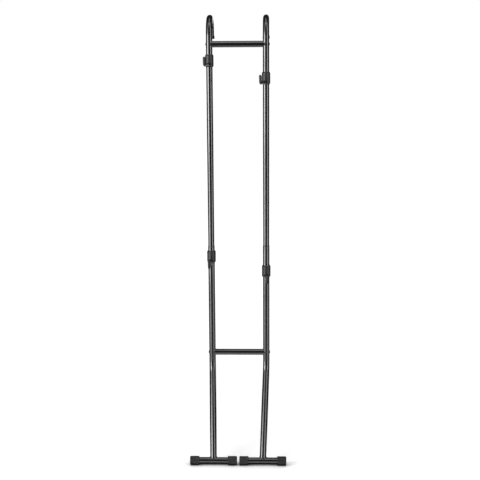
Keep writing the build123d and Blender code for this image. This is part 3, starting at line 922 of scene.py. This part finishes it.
zinc_plate = finish_material(
    "zinc_plate", ZINC_DARK, ZINC_PALE,
    gloss=(0.24, 0.40), lumps=2200.0, lump_depth=0.00001, dust=0.0,
)
turned_brass = finish_material(
    "turned_brass", BRASS_DARK, BRASS_PALE,
    gloss=(0.20, 0.34), lumps=2600.0, lump_depth=0.00001, dust=0.0,
)
for bare_metal in (zinc_plate, turned_brass):
    bare_metal.node_tree.nodes["Principled BSDF"].inputs["Metallic"].default_value = 1.0
METAL_FINISHES = {"plain_steel": zinc_plate, "brass": turned_brass, "black_fastener": black_oxide}

for subpart in frame["record"]["subparts"]:
    node = frame["nodes"][subpart["node"]]
    if not node.hide_render:
        node.data.materials.clear()
        node.data.materials.append(METAL_FINISHES[subpart["material_slot"]])


# Stage: a pale seamless floor and a white surround, with a dark room that only gloss shows, and a gloss-only mat
# of painted dark reflection and shade.
# Soft boxes stand in front at both sides, and others hang above. The left ones are the brighter, and
# they fade out upwards in steps.
FLOOR_SIZE = 30.0
FLOOR_COLOUR = (0.80, 0.80, 0.80, 1.0)
FLOOR_GLOW_NEAR = 0.49
FLOOR_GLOW_FAR = 0.91
FLOOR_GLOW_REACH = 3.5
CONTACT_SHADE_REACH = 0.10
CONTACT_SHADE_RAYS = 4
SURROUND_LIGHT = 0.13
ROOM_SIZE = (8.0, 24.0, 5.0)
ROOM_MIDDLE = (0.0, 3.0, 2.51)
ROOM_GREY = (0.03, 0.03, 0.03, 1.0)
WHITE = (1.0, 1.0, 1.0, 1.0)


def seen_directly(tree):
    """1 for rays from the camera, from gloss and through glass, 0 for light that spreads."""
    path = tree.nodes.new("ShaderNodeLightPath")
    seen = path.outputs["Is Camera Ray"]
    for ray in ("Is Glossy Ray", "Is Transmission Ray"):
        either = tree.nodes.new("ShaderNodeMath")
        either.operation = "MAXIMUM"
        tree.links.new(seen, either.inputs[0])
        tree.links.new(path.outputs[ray], either.inputs[1])
        seen = either.outputs["Value"]
    return seen


def stage_piece(bm, name, material):
    """Turns a bmesh into a part of the stage."""
    mesh = bpy.data.meshes.new(name)
    bm.to_mesh(mesh)
    bm.free()
    mesh.materials.append(material)
    piece = bpy.data.objects.new(name, mesh)
    bpy.context.scene.collection.objects.link(piece)
    return piece


def stage_material(name):
    """A bare material for the stage, with its tree and output."""
    material = bpy.data.materials.new(name)
    material.use_nodes = True
    tree = material.node_tree
    tree.nodes.remove(tree.nodes["Principled BSDF"])
    return material, tree, tree.nodes["Material Output"]


floor_material, tree, out = stage_material("pale_floor")
spread = add_node(tree, "ShaderNodeBsdfDiffuse", Color=FLOOR_COLOUR)
glow = add_node(tree, "ShaderNodeEmission", Color=WHITE)
spot = tree.nodes.new("ShaderNodeTexCoord")
away = tree.nodes.new("ShaderNodeVectorMath")
away.operation = "LENGTH"
fill = add_node(tree, "ShaderNodeMapRange", From_Max=FLOOR_GLOW_REACH)
fill.inputs["To Min"].default_value = FLOOR_GLOW_NEAR
fill.inputs["To Max"].default_value = FLOOR_GLOW_FAR
both = tree.nodes.new("ShaderNodeAddShader")
tree.links.new(spot.outputs["Object"], away.inputs[0])
tree.links.new(away.outputs["Value"], fill.inputs["Value"])
# The glow casts no shade of its own, so a painted contact shadow, squared to make it deeper, dims it close beside
# the feet.
shade = add_node(tree, "ShaderNodeAmbientOcclusion", Distance=CONTACT_SHADE_REACH)
shade.samples = CONTACT_SHADE_RAYS
deeper = multiply(tree, shade.outputs["AO"], shade.outputs["AO"])
shaded = multiply(tree, deeper, fill.outputs["Result"])
tree.links.new(multiply(tree, seen_directly(tree), shaded), glow.inputs["Strength"])
tree.links.new(spread.outputs["BSDF"], both.inputs[0])
tree.links.new(glow.outputs["Emission"], both.inputs[1])
tree.links.new(both.outputs["Shader"], out.inputs["Surface"])
bm = bmesh.new()
bmesh.ops.create_grid(bm, x_segments=1, y_segments=1, size=FLOOR_SIZE / 2)
stage_piece(bm, "floor", floor_material)

world = bpy.data.worlds.new("white_surround")
world.use_nodes = True
bpy.context.scene.world = world
tree = world.node_tree
ambient = tree.nodes["Background"]
ambient.inputs["Color"].default_value = WHITE
ambient.inputs["Strength"].default_value = SURROUND_LIGHT
white = add_node(tree, "ShaderNodeBackground", Color=WHITE, Strength=1.0)
choose = tree.nodes.new("ShaderNodeMixShader")
tree.links.new(seen_directly(tree), choose.inputs[0])
tree.links.new(ambient.outputs["Background"], choose.inputs[1])
tree.links.new(white.outputs["Background"], choose.inputs[2])
tree.links.new(choose.outputs["Shader"], tree.nodes["World Output"].inputs["Surface"])

room_material, tree, out = stage_material("dark_room")
dim = add_node(tree, "ShaderNodeEmission", Color=ROOM_GREY, Strength=1.0)
tree.links.new(dim.outputs["Emission"], out.inputs["Surface"])
bm = bmesh.new()
room_place = Matrix.Translation(ROOM_MIDDLE) @ Matrix.Diagonal((*ROOM_SIZE, 1.0))
bmesh.ops.create_cube(bm, size=1.0, matrix=room_place)
open_sides = [face for face in bm.faces if face.normal.y > 0.5 or face.normal.z < -0.5]
bmesh.ops.delete(bm, geom=open_sides, context="FACES")
room = stage_piece(bm, "dark_room", room_material)

# The mat paints a dark reflection of the floor, since only gloss shows it. It lies in rings round the stand: inner
# and outer radius, and the wedges, in degrees from the front, that are cut away so that the pale floor shows
# there. A strip of it lies under the feet as painted shade.
MAT_SEGMENTS = 72
MAT_HEIGHT = 0.008
SHADE_STRIP_HALF = (0.26, 0.040)
SHADE_STRIP_HEIGHT = 0.001
MAT_RINGS = (
    (0.35, 0.5, ((-60.0, 60.0),)),
    (0.5, 1.3, ((-25.0, 25.0),)),
    (1.3, 9.0, ((-82.0, -27.0), (32.0, 80.0), (140.0, 180.0), (-180.0, -140.0))),
)

bm = bmesh.new()
lie = Matrix.Translation((0.0, upright_axis["left"].y, MAT_HEIGHT))
for inner, outer, pale_wedges in MAT_RINGS:
    ring = bmesh.ops.create_circle(bm, segments=MAT_SEGMENTS, radius=inner, matrix=lie)["verts"]
    far_side = rim_verts(draw_on(bm, edges_between(ring), (0.0, 0.0, 0.0)))
    size = outer / inner
    bmesh.ops.scale(bm, vec=(size, size, 1.0), space=lie.inverted(), verts=far_side)
    pale = []
    for face in dict.fromkeys(face for vert in far_side for face in vert.link_faces):
        middle = lie.inverted() @ face.calc_center_median()
        turn = math.degrees(math.atan2(middle.x, -middle.y))
        if any(start <= turn <= end for start, end in pale_wedges):
            pale.append(face)
    bmesh.ops.delete(bm, geom=pale, context="FACES")
# The strip under the feet is painted shade: it darkens the foot bars' reflection of the floor close beside them.
shade_strip_size = Matrix.Diagonal((*SHADE_STRIP_HALF, 1.0, 1.0))
shade_strip_place = Matrix.Translation((0.0, foot_centre.y, SHADE_STRIP_HEIGHT))
bmesh.ops.create_grid(bm, x_segments=1, y_segments=1, size=1.0, matrix=shade_strip_place @ shade_strip_size)
reflection_mat = stage_piece(bm, "painted_reflection_mat", room_material)
for dark_piece in (room, reflection_mat):
    dark_piece.visible_camera = False
    dark_piece.visible_diffuse = False
    dark_piece.visible_shadow = False


def soft_box(name, width, tall, brightness, place):
    """A soft box: a lamp with a flat face of even brightness that looks along its place's -Z axis."""
    lamp = bpy.data.lights.new(name, "AREA")
    lamp.shape = "RECTANGLE"
    lamp.size = width
    lamp.size_y = tall
    lamp.energy = brightness * math.pi * width * tall
    holder = bpy.data.objects.new(name, lamp)
    bpy.context.scene.collection.objects.link(holder)
    holder.matrix_world = place


def facing_stand(turn, lift, distance, height):
    """A place that faces the stand: turned to one side of the camera and lifted over a height."""
    about = Matrix.Translation((0.0, upright_axis["left"].y, height))
    swing = Matrix.Rotation(math.radians(turn), 4, "Z") @ Matrix.Rotation(math.radians(-lift), 4, "X")
    return about @ swing @ Matrix.Translation((0.0, -distance, 0.0)) @ TO_FRONT


# Each box has its width, height and brightness, and then its turn, lift, distance and height.
FADE_BOX_TALL = 0.3145
SOFT_BOXES = {
    "left_roof_box": (1.8, 1.3, 0.7, (-56.0, 54.0, 3.0, 2.1)),
    "left_fade_box_0": (1.8, FADE_BOX_TALL, 4.6, (-53.0, 3.0, 3.0, 2.2)),
    "left_fade_box_1": (1.8, FADE_BOX_TALL, 3.2, (-53.0, 9.0, 3.0, 2.2)),
    "left_fade_box_2": (1.8, FADE_BOX_TALL, 2.4, (-53.0, 15.0, 3.0, 2.2)),
    "left_fade_box_3": (1.8, FADE_BOX_TALL, 1.75, (-53.0, 21.0, 3.0, 2.2)),
    "left_fade_box_4": (1.8, FADE_BOX_TALL, 1.35, (-53.0, 27.0, 3.0, 2.2)),
    "left_fade_box_5": (1.8, FADE_BOX_TALL, 1.05, (-53.0, 33.0, 3.0, 2.2)),
    "left_fade_box_6": (1.8, FADE_BOX_TALL, 0.8, (-53.0, 39.0, 3.0, 2.2)),
    "left_high_box": (1.8, 0.9, 8.2, (-53.0, 0.0, 3.0, 1.75)),
    "left_low_box": (1.8, 1.1, 5.0, (-53.0, 0.0, 3.0, 0.75)),
    "right_roof_box": (1.4, 1.6, 1.4, (58.0, 52.0, 3.0, 2.1)),
    "right_mid_box": (1.4, 2.1, 2.3, (54.0, 18.0, 3.2, 2.2)),
    "right_high_box": (1.4, 0.9, 3.5, (54.0, 0.0, 3.2, 1.75)),
    "right_low_box": (1.4, 1.1, 2.8, (54.0, 0.0, 3.2, 0.75)),
    "front_roof_box": (1.8, 1.2, 1.2, (0.0, 74.0, 3.0, 2.1)),
}
TOP_BOX = (1.0, 3.4, 1.2)
TOP_BOX_PLACE = (0.0, -0.75, 4.8)

for name, (width, tall, brightness, place) in SOFT_BOXES.items():
    soft_box(name, width, tall, brightness, facing_stand(*place))
soft_box("top_box", *TOP_BOX, Matrix.Translation(TOP_BOX_PLACE))


# Camera: a long lens a little above head height and to the right, pitched down at the stand.
# Its place, turn and lens were fitted to the photograph.
CAMERA_RIGHT = 0.1618
CAMERA_AHEAD = 5.0751
CAMERA_HEIGHT = 2.0574
CAMERA_YAW = math.radians(1.7534)
CAMERA_PITCH = math.radians(10.7767)
CAMERA_ROLL = math.radians(-0.3329)
CAMERA_LENS = 76.0
CAMERA_SENSOR = 36.0

lens = bpy.data.cameras.new("camera")
lens.sensor_width = CAMERA_SENSOR
lens.lens = CAMERA_LENS
camera = bpy.data.objects.new("camera", lens)
turned = Matrix.Rotation(CAMERA_YAW, 4, "Z") @ Matrix.Rotation(math.pi / 2 - CAMERA_PITCH, 4, "X")
stood = Matrix.Translation((CAMERA_RIGHT, upright_axis["left"].y - CAMERA_AHEAD, CAMERA_HEIGHT))
camera.matrix_world = stood @ turned @ Matrix.Rotation(CAMERA_ROLL, 4, "Z")
bpy.context.scene.collection.objects.link(camera)
bpy.context.scene.camera = camera
bpy.context.scene.view_settings.view_transform = "Standard"
